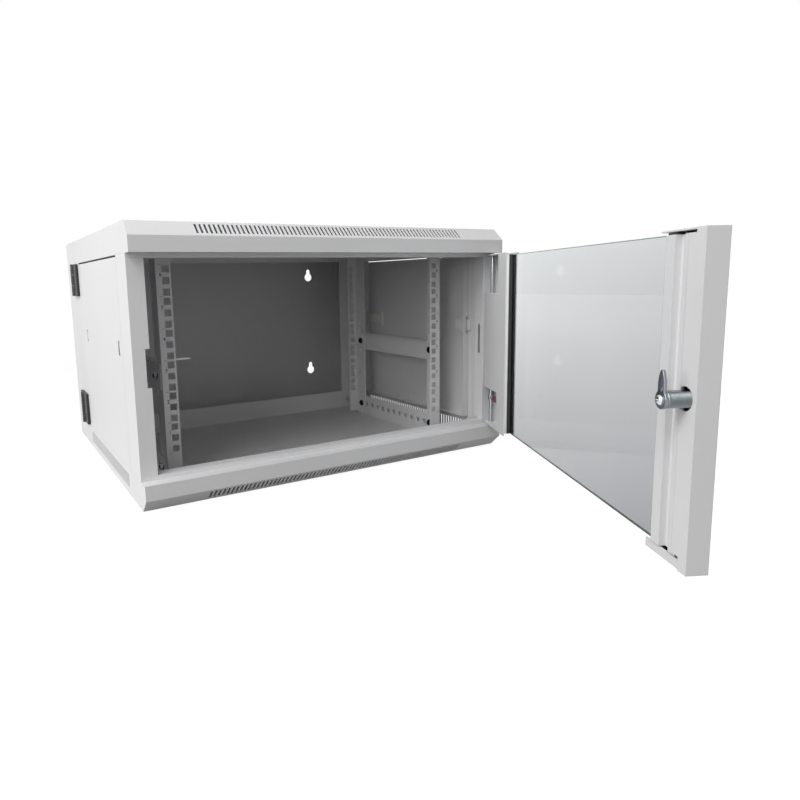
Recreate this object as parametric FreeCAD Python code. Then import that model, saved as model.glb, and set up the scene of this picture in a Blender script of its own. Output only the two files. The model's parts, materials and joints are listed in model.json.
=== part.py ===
import FreeCAD, Part
import math
import os

# Six-unit 19-inch wall cabinet in two sections, for small server and network gear.
# The shallow rear section stays on the wall. The front section carries the rails and the glass door,
# and swings off the rear section on two hinges at its left side.
# While modelling, X runs to the right, Y into the cabinet from its front plane and Z up from its floor.
# The finished model has its origin at the middle of the footprint.

# Whole cabinet, millimetres
width = 600.0
height = 368.0
front_length = 449.2
seam_gap = 0.8
rear_length = 100.0
sheet = 1.5

# Covers: floor and roof are mirror images with a chamfered nose
band_height = 39.0
chamfer_drop = 18.5
chamfer_depth = 20.0
frame_y = 20.3
slot_width = 3.2
slot_length = 18.0
slots_across = 69
slot_margin = 87.5
side_slot_width = 3.4
side_slots = 45
side_slot_foot = 10.0
side_slot_height = 20.0
side_slot_setback = 100.0
side_slot_margin = 41.2
entry_margin = 145.0
entry_setback = 44.2
entry_depth = 60.0
entry_corner = 12.0
entry_cut = 1.2
entry_bridge = 10.0

# Front frame
lip_height = 6.0
beam_rise = 22.0
beam_depth = 20.0
post_face = 22.0
post_return_inset = 8.0
post_return_depth = 30.0
post_side_depth = 59.0
notch_depth = 5.5
cam_slot_below = 29.0
cam_slot_above = 21.0
cam_slot_width = 5.0

# Rear frame of the front section
seam_flange = 53.5
rear_post_depth = 37.4
seam_screw_inset = 38.0
seam_screw_z = 20.0
seam_screw_radius = 3.0
seam_screw_head_radius = 6.0
seam_screw_head = 7.0

# Rails to the 19-inch standard
units = 6
unit_height = 44.45
first_hole = 6.35
hole_pitch = 15.875
holes_per_unit = 3
square = 9.5
column_offset = 7.55
rail_setback = 75.0
rail_flange = 21.0
rail_sheet = 2.0
rail_side_depth = 34.0
rail_end_gap = 6.0
front_rail_y = 96.0
rear_rail_setback = 72.2
front_bolt_offset = 27.0
rear_bolt_offset = 17.0
rail_slot_width = 4.0
rail_slot_height = 12.0

# Depth braces, three on each side
brace_height = 40.5
mid_brace_height = 36.0
mid_brace_drop = 23.0
brace_overlap = 4.0
brace_foot = 15.0
brace_lip = 10.0
brace_hole_radius = 4.75
brace_holes = 11
brace_hole_margin = 18.5
brace_hole_z = 25.5
brace_slot_length = 22.0
brace_slot_height = 7.0
bolt_radius = 3.0
bolt_head_radius = 6.0
bolt_head = 4.0
bolt_hole_clearance = 0.3

# Lift-off side panels and their spring latches
panel_sheet = 1.2
panel_gap = 0.8
panel_slit = 2.5
panel_seat = 0.3
panel_flange = 12.0
latch_rise = 21.5
latch_height = 24.0
latch_length = 28.0
latch_thickness = 2.0
latch_reach = 5.7
latch_travel = 8.0
front_latch_setback = 5.0
latch_arm_height = 19.0
rear_latch_setback = 28.0
latch_clearance = 0.4
latch_face_gap = 0.6
guide_wall = 2.0
guide_lip = 3.0
finger_hole = (12.5, 20.0)
finger_ridge = 3.0

# Swing hinges between the two sections
swing_hinge_height = 56.0
swing_hinge_inset = 1.0
leaf_length = 31.0
leaf_thickness = 5.0
knuckle_radius = 4.2
knuckle_gap = 0.6
swing_pin_radius = 2.2
running_fit = 0.05
knuckle_spacing = 0.4

# Rear section
rear_flange = 38.0
rear_flange_height = 26.5
keyhole_margin = 81.6
keyhole_radius = 9.0
keyhole_slot_radius = 4.5
keyhole_rise = 13.5
keyhole_foot = 79.6
keyhole_head = 70.7

# Door
door_open = 63.65
pivot_inset = 12.0
pivot_y = 9.4
door_half = 9.9
door_gap = 3.0
free_edge_inset = 12.0
hinge_strip_width = 100.0
lock_strip_width = 64.0
skin = 1.5
glass_thickness = 5.0
glass_seat = 3.0
pane_foot = 4.0
pane_head = 3.0
pane_inset = 2.2
seal_wall = 2.0
glass_grip = 16.0
pocket_height = 61.0
pocket_width = 62.0
hinge_pin_radius = 3.0
pin_reach = 5.0
pin_tail = 6.0
knob_radius = 4.0
knob_length = 42.0
hub_radius = 5.0
spring_radii = (3.3, 4.8)
spring_length = 14.5
plane_width = 22.0
plane_border = 12.0
plane_foot = 12.0
foot_lip = 8.0
lining_foot = 9.0
plane_head = 4.0
lining_sheet = 1.2
lining_lap = 2.5
lining_ledge = 7.2
channel_width = 11.6
channel_depth = 6.0
rib_width = 13.0
rib_rise = 1.5
seal_lip = 1.5

# Cam lock
lock_inset = 15.0
lock_rise = 5.0
barrel_radius = 8.0
barrel_length = 37.7
lock_flange = (11.5, 2.5)
lock_hole_radius = 10.3
plug_radius = 5.0
lock_nut = (12.5, 3.0)
cam_gap = 0.4
cam_thickness = 2.5
cam_length = 24.5
cam_width = 10.0
cam_tip_radius = 3.0
cam_screw = (4.5, 2.7, 2.5)
key_slot = (1.4, 6.5, 6.0)

# Ground stud on the floor
stud_margin = 105.0
stud_setback = 149.2
stud_radius = 3.0
stud_length = 16.0

half = width / 2
middle_z = height / 2
roof_edge = height - band_height
seam_y = front_length + seam_gap / 2
rear_y = front_length + seam_gap
depth = rear_y + rear_length
panel_y = (frame_y + post_side_depth + panel_gap, front_length - rear_post_depth - panel_gap)
side_slot_y = (side_slot_setback, front_length - side_slot_margin)
entry_y = (front_length - entry_setback - entry_depth, front_length - entry_setback)
seam_screw_x = half - seam_screw_inset
rail_inner = half - rail_setback
rail_outer = rail_inner + rail_flange
rear_rail_y = front_length - rear_rail_setback
mid_brace_z = middle_z - mid_brace_drop
latch_z = middle_z + latch_rise
stud_place = (stud_margin - half, front_length - stud_setback)
brace_y = (front_rail_y + brace_overlap, rear_rail_y + rail_sheet - brace_overlap)
bolt_ys = (front_rail_y + front_bolt_offset, rear_rail_y - rear_bolt_offset)
bolt_zs = (brace_hole_z, mid_brace_z, height - brace_hole_z)
keyhole_columns = (keyhole_margin - half, half - keyhole_margin)
keyhole_rows = (keyhole_foot, height - keyhole_head)
pivot_x = half - pivot_inset
free_edge = half - free_edge_inset
lock_z = middle_z + lock_rise
cam_slot_z = (lock_z - cam_slot_below, lock_z + cam_slot_above)
door_front = pivot_y - door_half
door_back = pivot_y + door_half
door_z = (band_height + door_gap, roof_edge - door_gap)
lock_x = -free_edge + lock_inset
rib_start = -free_edge + plane_width + lining_ledge + channel_width
rib_x = (rib_start, rib_start + rib_width)
pane_x = (rib_start + pane_inset, pivot_x - hinge_strip_width + glass_grip)
pane_z = (door_z[0] + pane_foot, door_z[1] - pane_head)
knob_z = door_z[0] + skin + pocket_height - spring_length - knob_radius
glass_y = (door_front + skin + glass_seat, door_front + skin + glass_seat + glass_thickness)
cam_y = door_front + barrel_length + cam_gap
across_x = FreeCAD.Vector(1, 0, 0)
along_y = FreeCAD.Vector(0, 1, 0)
upwards = FreeCAD.Vector(0, 0, 1)
origin = FreeCAD.Vector(0, 0, 0)


def box(x, y, z):
    """Box between a pair of limits along each axis, in either order."""
    low = FreeCAD.Vector(min(x), min(y), min(z))
    return Part.makeBox(max(x) - low.x, max(y) - low.y, max(z) - low.z, low)


def rod(radius, x, y, z, axis):
    """Cylinder; the coordinate along the axis is a pair of limits."""
    limits = {"X": x, "Y": y, "Z": z}[axis]
    start = [x, y, z]
    start["XYZ".index(axis)] = min(limits)
    direction = {"X": across_x, "Y": along_y, "Z": upwards}[axis]
    return Part.makeCylinder(radius, max(limits) - min(limits), FreeCAD.Vector(*start), direction)


def hexagon(radius, x, y, z, axis):
    """Hexagonal prism by its corner radius; the coordinate along the axis is a pair of limits."""
    limits = {"X": x, "Y": y, "Z": z}[axis]
    start = [x, y, z]
    start["XYZ".index(axis)] = min(limits)
    corners = []
    for corner in range(7):
        angle = math.radians(60 * corner)
        first, second = radius * math.cos(angle), radius * math.sin(angle)
        offset = {"X": (0, first, second), "Y": (first, 0, second), "Z": (first, second, 0)}[axis]
        corners.append(FreeCAD.Vector(*[a + b for a, b in zip(start, offset)]))
    direction = {"X": across_x, "Y": along_y, "Z": upwards}[axis]
    return Part.Face(Part.makePolygon(corners)).extrude(direction * (max(limits) - min(limits)))


def sweep_x(outline, x):
    """Solid with a Y-Z outline between two X limits."""
    points = [FreeCAD.Vector(min(x), y, z) for y, z in outline + outline[:1]]
    return Part.Face(Part.makePolygon(points)).extrude(across_x * (max(x) - min(x)))


def join(*solids):
    """One solid from solids that touch or overlap."""
    return solids[0].fuse(list(solids[1:])).removeSplitter()


def carve(body, tools):
    """Cuts a list of tools out of a body."""
    return body.cut(Part.makeCompound(tools)).removeSplitter()


def mirror_x(shape):
    """The same piece on the cabinet's other side."""
    return shape.mirror(origin, across_x)


def mirror_z(shape):
    """The same piece upside down, about the cabinet's middle height."""
    return shape.mirror(FreeCAD.Vector(0, 0, middle_z), upwards)


def spaced(count, pitch):
    """Centred positions of a row."""
    return [pitch * (index - (count - 1) / 2) for index in range(count)]


def save(name, shape, on_door=False):
    """Writes one piece with the origin at the footprint's middle, the door's pieces turned open."""
    placed = shape.copy()
    if on_door:
        placed.rotate(FreeCAD.Vector(pivot_x, pivot_y, 0), upwards, door_open)
    placed.translate(FreeCAD.Vector(0, -depth / 2, 0))
    placed.exportStep("parts/" + name + ".step")


def both_sides(name, right_shape):
    """Writes a right-hand piece and its left-hand mirror image."""
    save("right_" + name, right_shape)
    save("left_" + name, mirror_x(right_shape))


def roof_slots():
    """Vent slots through the roof's chamfer, square to it."""
    slope = math.degrees(math.atan2(chamfer_drop, chamfer_depth))
    slots = []
    for x in spaced(slots_across, 2 * (half - slot_margin) / (slots_across - 1)):
        slot = Part.makeBox(slot_width, slot_length, 8 * sheet)
        slot.translate(FreeCAD.Vector(-slot_width / 2, -slot_length / 2, -4 * sheet))
        slot.rotate(origin, across_x, slope)
        slot.translate(FreeCAD.Vector(x, chamfer_depth / 2, height - chamfer_drop / 2))
        slots.append(slot)
    return slots


def roof():
    """Roof cover: chamfered nose with its inward return, side drops and the seam flange behind."""
    slope = chamfer_drop / chamfer_depth
    slant = math.hypot(1, slope)
    outer = [
        (0, roof_edge),
        (0, height - chamfer_drop),
        (chamfer_depth, height),
        (front_length, height),
        (front_length, roof_edge),
    ]
    inner = [
        (sheet, roof_edge + sheet),
        (sheet, height - chamfer_drop - sheet * (slant - slope)),
        (chamfer_depth + sheet * (slant - 1) / slope, height - sheet),
        (front_length - sheet, height - sheet),
        (front_length - sheet, roof_edge - sheet),
        (frame_y, roof_edge - sheet),
        (frame_y, roof_edge + sheet),
    ]
    shell = sweep_x(outer, (-half, half)).cut(sweep_x(inner, (sheet - half, half - sheet)))
    through_return = (roof_edge - 1, roof_edge + sheet + 1)
    pin_hole = rod(hinge_pin_radius + running_fit, pivot_x, pivot_y, through_return, "Z")
    screw = seam_screw_hole(height - seam_screw_z)
    return carve(shell, roof_slots() + [pin_hole, entry_outline(), screw])


def seam_screw_hole(z):
    """Clearance hole of a captive screw through the seam flanges."""
    span = (front_length - 2 * sheet, rear_y + 2 * sheet)
    return rod(seam_screw_radius + bolt_hole_clearance, seam_screw_x, span, z, "Y")


def rounded_block(x, y, z, corner):
    """Box with its four upright edges rounded."""
    block = box(x, y, z)
    uprights = [edge for edge in block.Edges if edge.BoundBox.ZLength > edge.BoundBox.DiagonalLength / 2]
    return block.makeFillet(corner, uprights)


def entry_outline():
    """Cut round a knock-out cable entry, left uncut at four bridges."""
    x = half - entry_margin
    z = (height - 2 * sheet, height + 1)
    inside = (entry_y[0] + entry_cut, entry_y[1] - entry_cut)
    outer = rounded_block((-x, x), entry_y, z, entry_corner)
    inner = rounded_block((entry_cut - x, x - entry_cut), inside, z, entry_corner - entry_cut)
    bridges = [
        box((side * x / 2 - entry_bridge / 2, side * x / 2 + entry_bridge / 2), entry_y, z)
        for side in (-1, 1)
    ]
    return outer.cut(Part.makeCompound([inner] + bridges))


def floor():
    """Bottom pan: the roof upside down, with vent slots along both sides."""
    pan = mirror_z(roof())
    z = (side_slot_foot, side_slot_foot + side_slot_height)
    slots = []
    for y in spaced(side_slots, (side_slot_y[1] - side_slot_y[0]) / (side_slots - 1)):
        middle = sum(side_slot_y) / 2 + y
        limits = (middle - side_slot_width / 2, middle + side_slot_width / 2)
        for side in (-1, 1):
            slots.append(box((side * (half - 2 * sheet), side * (half + 1)), limits, z))
    stud_hole = rod(stud_radius, *stud_place, (-1, 2 * sheet), "Z")
    return carve(pan, slots + [stud_hole])


def front_beam():
    """Top beam of the front frame, behind the roof's return."""
    face = box(
        (sheet - half, half - sheet),
        (frame_y, frame_y + sheet),
        (roof_edge - lip_height, roof_edge - lip_height + beam_rise),
    )
    flange = box(
        (sheet - half, half - sheet),
        (frame_y, frame_y + beam_depth),
        (roof_edge - lip_height, roof_edge - lip_height + sheet),
    )
    return join(face, flange)


def front_post(notched):
    """Right front post; its return wall has the slot that the door's cam catches in."""
    z = (band_height + lip_height, roof_edge - lip_height)
    edge = half - post_face
    wall = edge + post_return_inset
    face = box((edge, half), (frame_y, frame_y + sheet), z)
    back = box((wall, wall + sheet), (frame_y, frame_y + post_return_depth), z)
    side = box((half - sheet, half), (frame_y, frame_y + post_side_depth), (band_height, roof_edge))
    slot_y = cam_y + cam_thickness / 2
    slot = box(
        (wall - 1, wall + sheet + 1), (slot_y - cam_slot_width / 2, slot_y + cam_slot_width / 2), cam_slot_z
    )
    cuts = [slot]
    if notched:
        cuts.append(box((edge - 1, edge + notch_depth), (frame_y - 1, frame_y + 2 * sheet), cam_slot_z))
    return carve(join(face, back, side), cuts)


def rear_post():
    """Right rear post with its wide seam flange."""
    z = (band_height, roof_edge)
    side = box((half - sheet, half), (front_length - rear_post_depth, front_length), z)
    flange = box((half - sheet - seam_flange, half), (front_length - sheet, front_length), z)
    return join(side, flange)


def hole_heights():
    """Heights of the square holes, three in each unit, about the cabinet's middle."""
    low = middle_z - units * unit_height / 2 + first_hole
    return [
        low + row * unit_height + hole * hole_pitch for row in range(units) for hole in range(holes_per_unit)
    ]


def rail(face_y, side_y, bolt_y):
    """Right rail: mounting flange with square holes, and a side flange that bolts to the braces."""
    z = (rail_end_gap, height - rail_end_gap)
    mounting = box((rail_inner, rail_outer), (face_y, face_y + rail_sheet), z)
    side = box((rail_outer - rail_sheet, rail_outer), side_y, z)
    column_x = rail_inner + column_offset
    column = (column_x - square / 2, column_x + square / 2)
    through = (face_y - 1, face_y + rail_sheet + 1)
    squares = [box(column, through, (middle - square / 2, middle + square / 2)) for middle in hole_heights()]
    across = (rail_outer - rail_sheet - 1, rail_outer + 1)
    bolts = [rod(bolt_radius + bolt_hole_clearance, across, bolt_y, bolt_z, "X") for bolt_z in bolt_zs]
    slots = []
    for step in spaced(units - 1, unit_height):
        slot_z = middle_z + step
        slots.append(
            box(
                across,
                (bolt_y - rail_slot_width / 2, bolt_y + rail_slot_width / 2),
                (slot_z - rail_slot_height / 2, slot_z + rail_slot_height / 2),
            )
        )
    return carve(join(mounting, side), squares + bolts + slots)


def brace_slots(z):
    """Adjusting slots of a brace, one at each rail."""
    tools = []
    for y in bolt_ys:
        tools.append(
            box(
                (rail_outer - 1, rail_outer + 2 * sheet),
                (y - brace_slot_length / 2, y + brace_slot_length / 2),
                (z - brace_slot_height / 2, z + brace_slot_height / 2),
            )
        )
    return tools


def low_brace():
    """Right floor brace: upright plate with a row of holes, standing on an outward foot."""
    upright = box((rail_outer, rail_outer + sheet), brace_y, (sheet, sheet + brace_height))
    foot = box((rail_outer, rail_outer + brace_foot), brace_y, (sheet, 2 * sheet))
    holes = []
    row_length = bolt_ys[1] - bolt_ys[0] - 2 * brace_hole_margin
    for y in spaced(brace_holes, row_length / (brace_holes - 1)):
        middle = sum(bolt_ys) / 2 + y
        holes.append(
            rod(brace_hole_radius, (rail_outer - 1, rail_outer + 2 * sheet), middle, brace_hole_z, "X")
        )
    return carve(join(upright, foot), holes + brace_slots(brace_hole_z))


def mid_brace():
    """Right middle brace: plate between the rails with an inward lip along its top."""
    z = (mid_brace_z - mid_brace_height / 2, mid_brace_z + mid_brace_height / 2)
    upright = box((rail_outer, rail_outer + sheet), brace_y, z)
    lip = box(
        (rail_outer - brace_lip, rail_outer + sheet),
        (front_rail_y + rail_side_depth + 1, rear_rail_y + rail_sheet - rail_side_depth - 1),
        (z[1] - sheet, z[1]),
    )
    return carve(join(upright, lip), brace_slots(mid_brace_z))


def rail_bolts():
    """Bolts through rails and braces, heads towards the equipment."""
    bolts = []
    for y in bolt_ys:
        for z in bolt_zs:
            inner = rail_outer - rail_sheet
            head = rod(bolt_head_radius, (inner - bolt_head, inner), y, z, "X")
            shank = rod(bolt_radius, (inner - 1, rail_outer + sheet + bolt_head + 1), y, z, "X")
            bolt = join(head, shank)
            bolts += [bolt, mirror_x(bolt)]
    return Part.makeCompound(bolts)


def rail_nuts():
    """Nuts behind the braces."""
    nuts = []
    for y in bolt_ys:
        for z in bolt_zs:
            span = (rail_outer + sheet, rail_outer + sheet + bolt_head)
            nut = hexagon(bolt_head_radius, span, y, z, "X").cut(rod(bolt_radius, span, y, z, "X"))
            nuts += [nut, mirror_x(nut)]
    return Part.makeCompound(nuts)


def latch_layout(rear):
    """Direction of a latch's nose, and the near edge of its plate."""
    if rear:
        return 1, panel_y[1] - panel_sheet - rear_latch_setback
    return -1, panel_y[0] + panel_sheet + front_latch_setback


def latch(rear):
    """Right-hand spring latch: plate, finger ridge and the nose that reaches behind the post."""
    towards, edge = latch_layout(rear)
    outer = half - panel_sheet - latch_face_gap
    x = (outer - latch_thickness, outer)
    z = (latch_z - latch_height / 2, latch_z + latch_height / 2)
    plate = box(x, (edge, edge - towards * latch_length), z)
    post_edge = panel_y[1] + panel_gap if rear else panel_y[0] - panel_gap
    arm = box(
        x,
        (edge - towards, post_edge + towards * latch_reach),
        (latch_z - latch_arm_height / 2, latch_z + latch_arm_height / 2),
    )
    hole_near = finger_hole_near(rear)
    ridge = box(
        (outer, half - latch_clearance),
        (hole_near - towards * latch_clearance, hole_near - towards * (latch_clearance + finger_ridge)),
        (latch_z - finger_hole[1] / 3, latch_z + finger_hole[1] / 3),
    )
    return join(plate, arm, ridge)


def finger_hole_near(rear):
    """Edge of the finger hole that is nearer to the latch's nose."""
    towards, edge = latch_layout(rear)
    return edge - towards * (latch_length - finger_hole[0]) / 2


def latch_guides(rear):
    """Angle guides on the panel that hold a latch above and below."""
    towards, edge = latch_layout(rear)
    outer = half - panel_sheet
    inner = outer - latch_face_gap - latch_thickness - latch_face_gap / 2
    y = (edge - towards * latch_travel, edge - towards * latch_length)
    guides = []
    for side in (-1, 1):
        near = latch_z + side * (latch_height / 2 + latch_clearance)
        far = near + side * guide_wall
        guides.append(box((inner - panel_sheet, outer), y, (near, far)))
        guides.append(box((inner - panel_sheet, inner), y, (near - side * guide_lip, far)))
    return guides


def side_panel():
    """Right lift-off side panel: skin with folded edges, finger holes and latch guides."""
    z = (band_height + panel_seat, roof_edge - panel_slit)
    fold = (half - panel_sheet - panel_flange, half)
    pieces = [
        box((half - panel_sheet, half), panel_y, z),
        box(fold, (panel_y[0], panel_y[0] + panel_sheet), z),
        box(fold, (panel_y[1] - panel_sheet, panel_y[1]), z),
        box(fold, panel_y, (z[0], z[0] + panel_sheet)),
        box(fold, panel_y, (z[1] - panel_sheet, z[1])),
    ]
    cuts = []
    for rear in (False, True):
        pieces += latch_guides(rear)
        towards, edge = latch_layout(rear)
        near = finger_hole_near(rear)
        finger_y = (near, near - towards * finger_hole[0])
        finger_z = (latch_z - finger_hole[1] / 2, latch_z + finger_hole[1] / 2)
        cuts.append(box((half - 2 * panel_sheet, half + 1), finger_y, finger_z))
        flange_y = panel_y[1] if rear else panel_y[0]
        cuts.append(
            box(
                (half - panel_sheet - panel_flange / 2, half - panel_sheet),
                (flange_y - 2 * panel_sheet, flange_y + 2 * panel_sheet),
                (latch_z - latch_height / 2 - guide_lip, latch_z + latch_height / 2 + guide_lip),
            )
        )
    return carve(join(*pieces), cuts)


def seam_screws():
    """Captive screws that close the seam, drawn back out of the rear section."""
    screws = []
    for z in (seam_screw_z, height - seam_screw_z):
        face = front_length - sheet
        head = rod(seam_screw_head_radius, seam_screw_x, (face - seam_screw_head, face), z, "Y")
        shank = rod(seam_screw_radius, seam_screw_x, (face - 1, front_length), z, "Y")
        screws.append(join(head, shank))
    return Part.makeCompound(screws)


def ground_stud():
    """Welded earth stud with its washer nut."""
    stud = rod(stud_radius, *stud_place, (0, stud_length), "Z")
    nut = hexagon(2 * stud_radius, *stud_place, (sheet, sheet + stud_radius), "Z")
    return join(stud, nut)


def swing_leaf(z, front):
    """One leaf of a left-hand swing hinge; the front leaf has the outer knuckles."""
    x = -half - knuckle_gap - knuckle_radius
    away = -1 if front else 1
    inner_y = seam_y + away * (knuckle_radius + knuckle_spacing)
    plate = box((-half, -half - leaf_thickness), (inner_y, seam_y + away * leaf_length), z)
    third = (z[1] - z[0]) / 3
    spans = [(z[0] + third + knuckle_spacing / 2, z[1] - third - knuckle_spacing / 2)]
    if front:
        spans = [(z[0], z[0] + third - knuckle_spacing / 2), (z[1] - third + knuckle_spacing / 2, z[1])]
    pieces = [plate]
    for span in spans:
        pieces.append(rod(knuckle_radius, x, seam_y, span, "Z"))
        pieces.append(box((x, -half - knuckle_gap), (seam_y, inner_y + away), span))
    bore = swing_pin_radius + (running_fit if front else 0)
    return carve(join(*pieces), [rod(bore, x, seam_y, (z[0] - 1, z[1] + 1), "Z")])


def swing_hinge_spans():
    """Heights of the lower and upper swing hinges."""
    low = (band_height + swing_hinge_inset, band_height + swing_hinge_inset + swing_hinge_height)
    return {"lower": low, "upper": (height - low[1], height - low[0])}


def swing_pins():
    """Hinge pins, one in each swing hinge."""
    x = -half - knuckle_gap - knuckle_radius
    spans = swing_hinge_spans().values()
    return Part.makeCompound([rod(swing_pin_radius, x, seam_y, span, "Z") for span in spans])


def keyhole(x, z):
    """Round hole with a narrower slot above it, through the back wall."""
    y = (depth - 2 * sheet, depth + 1)
    top = z + keyhole_rise
    return [
        rod(keyhole_radius, x, y, z, "Y"),
        rod(keyhole_slot_radius, x, y, top, "Y"),
        box((x - keyhole_slot_radius, x + keyhole_slot_radius), y, (z, top)),
    ]


def back_wall():
    """Back wall with four keyholes for wall screws."""
    wall = box((-half, half), (depth - sheet, depth), (0, height))
    cuts = []
    for x in keyhole_columns:
        for z in keyhole_rows:
            cuts += keyhole(x, z)
    return carve(wall, cuts)


def rear_roof():
    """Top sheet of the rear section with its seam flange."""
    plate = box((-half, half), (rear_y, depth - sheet), (height - sheet, height))
    flange_z = (height - sheet - rear_flange_height, height)
    flange = box((sheet - half, half - sheet), (rear_y, rear_y + sheet), flange_z)
    return carve(join(plate, flange), [seam_screw_hole(height - seam_screw_z)])


def rear_side():
    """Right side sheet of the rear section with its seam flange."""
    plate = box((half - sheet, half), (rear_y, depth - sheet), (sheet, height - sheet))
    flange_z = (sheet + rear_flange_height, height - sheet - rear_flange_height)
    flange = box((half - rear_flange, half), (rear_y, rear_y + sheet), flange_z)
    return join(plate, flange)


def stadium(grow, x_end, z):
    """Door section with a round hinge edge about the pins, from a free end at x_end."""
    radius = door_half - grow
    flat = box((x_end, pivot_x), (pivot_y - radius, pivot_y + radius), z)
    return join(flat, rod(radius, pivot_x, pivot_y, z, "Z"))


def hinge_strip():
    """Hinge strip of the closed door: folded channel with open pockets at the pins."""
    end = pivot_x - hinge_strip_width
    strip = stadium(0, end, door_z).cut(stadium(skin, end - 1, (door_z[0] - 1, door_z[1] + 1)))
    inside = (pivot_x - pocket_width + skin, pivot_x + door_half)
    pieces = [strip]
    pockets = (door_z[0] + skin, door_z[1] - skin - pocket_height)
    cuts = []
    for floor_z in pockets:
        for plate in (floor_z - skin, floor_z + pocket_height):
            whole = stadium(skin, end, (plate, plate + skin))
            pieces.append(whole.common(box(inside, (door_front, door_back), (plate, plate + skin))))
        mouth = (floor_z, floor_z + pocket_height)
        cuts.append(box((pivot_x - pocket_width, pivot_x + 2 * door_half), (pivot_y, door_back + 1), mouth))
    strip = join(*pieces)
    cuts.append(rod(hinge_pin_radius + running_fit, pivot_x, pivot_y, (0, middle_z), "Z"))
    cuts.append(rod(hinge_pin_radius, pivot_x, pivot_y, (middle_z, height), "Z"))
    return carve(strip, cuts)


def lock_strip():
    """Lock strip of the closed door: skin folded round the free edge and over both ends."""
    edge = -free_edge
    inner = edge + lock_strip_width
    low, high = door_z
    top = door_back - skin
    pieces = [
        box((edge, inner), (door_front, door_front + skin), door_z),
        box((edge, edge + skin), (door_front, door_back), door_z),
        box((edge, edge + plane_border), (top, door_back), door_z),
        box((edge, edge + plane_width), (top, door_back), (low + plane_foot, high - plane_head)),
        box((edge, inner), (door_front, top), (low, low + skin)),
        box((edge, inner), (door_front, top), (high - skin, high)),
        box((edge + skin, inner), (top - skin, top), (low, low + foot_lip)),
    ]
    bore = rod(barrel_radius, lock_x, (door_front - 1, pivot_y), lock_z, "Y")
    return carve(join(*pieces), [lock_opening(), bore])


def lock_opening():
    """Round opening in the inner face around the lock."""
    return rod(lock_hole_radius, lock_x, (pivot_y, door_back + 1), lock_z, "Y")


def lock_strip_lining():
    """Folded lining beside the glass: ledge under the plane, a channel and a raised rib."""
    plane_end = -free_edge + plane_width
    top = door_back - skin
    channel_floor = top - channel_depth
    rib_top = top + rib_rise
    t = lining_sheet
    z = (door_z[0] + lining_foot, door_z[1] - plane_head)
    wall = plane_end + lining_ledge
    pieces = [
        box((plane_end - lining_lap, wall), (top - t, top), z),
        box((wall - t, wall), (channel_floor, top), z),
        box((wall - t, rib_x[0] + t), (channel_floor, channel_floor + t), z),
        box((rib_x[0], rib_x[0] + t), (channel_floor, rib_top), z),
        box(rib_x, (rib_top - t, rib_top), z),
        box((rib_x[1] - t, rib_x[1]), (glass_y[1] + seal_lip, rib_top), z),
    ]
    return carve(join(*pieces), [lock_opening()])


def pane():
    """Toughened glass pane."""
    return box(pane_x, glass_y, pane_z)


def seal(x, y):
    """Rubber seal along an upright edge of the pane."""
    return box(x, y, pane_z).cut(box(pane_x, glass_y, (0, height)))


def hinge_side_seal():
    """Seal at the hinge strip, filling the strip's open end."""
    return seal((pivot_x - hinge_strip_width, pane_x[1] + seal_wall), (door_front + skin, door_back - skin))


def lock_side_seal():
    """Seal at the lock strip, under the lining's rib."""
    return seal((pane_x[0] - seal_wall, rib_x[1]), (door_front + skin, glass_y[1] + seal_lip))


def glass_clips():
    """Plastic end clips that keep the pane from sliding out of the lock strip."""
    y = (glass_y[1] + seal_lip, door_back - skin)
    top = box(rib_x, y, (door_z[1] - plane_head, door_z[1] - skin))
    bottom = box(rib_x, (y[0], y[1] - skin), (door_z[0] + skin, door_z[0] + lining_foot))
    return Part.makeCompound([top, bottom])


def upper_hinge_pin():
    """Fixed pin at the top of the hinge strip."""
    low = door_z[1] - 2 * skin - pocket_height - pin_tail
    return rod(hinge_pin_radius, pivot_x, pivot_y, (low, roof_edge + sheet + pin_reach), "Z")


def lower_hinge_bolt():
    """Sliding pin at the bottom of the hinge strip."""
    top = door_z[0] + 2 * skin + pocket_height + pin_tail
    return rod(hinge_pin_radius, pivot_x, pivot_y, (band_height - sheet - pin_reach, top), "Z")


def release_knob():
    """Knob with the hub that grips the sliding pin."""
    z = (knob_z - knob_radius, knob_z + knob_radius)
    hub = rod(hub_radius, pivot_x, pivot_y, z, "Z")
    stem = rod(knob_radius, (pivot_x - knob_length, pivot_x), pivot_y, knob_z, "X")
    return join(hub, stem).cut(rod(hinge_pin_radius, pivot_x, pivot_y, z, "Z"))


def lower_bolt_spring():
    """Stand-in sleeve for the coil spring above the knob's hub."""
    z = (knob_z + knob_radius, knob_z + knob_radius + spring_length)
    inner, outer = spring_radii
    return rod(outer, pivot_x, pivot_y, z, "Z").cut(rod(inner, pivot_x, pivot_y, z, "Z"))


def lock_barrel():
    """Fixed lock housing with its outer flange."""
    flange_radius, flange_depth = lock_flange
    back = door_front + barrel_length
    body = rod(barrel_radius, lock_x, (door_front, back), lock_z, "Y")
    flange = rod(flange_radius, lock_x, (door_front - flange_depth, door_front), lock_z, "Y")
    bore = rod(plug_radius + running_fit, lock_x, (door_front - flange_depth - 1, back + 1), lock_z, "Y")
    return carve(join(body, flange), [bore])


def lock_barrel_nut():
    """Nut that clamps the lock to the outer skin."""
    radius, thickness = lock_nut
    y = (door_front + skin, door_front + skin + thickness)
    return hexagon(radius, lock_x, y, lock_z, "Y").cut(rod(barrel_radius, lock_x, y, lock_z, "Y"))


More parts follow.
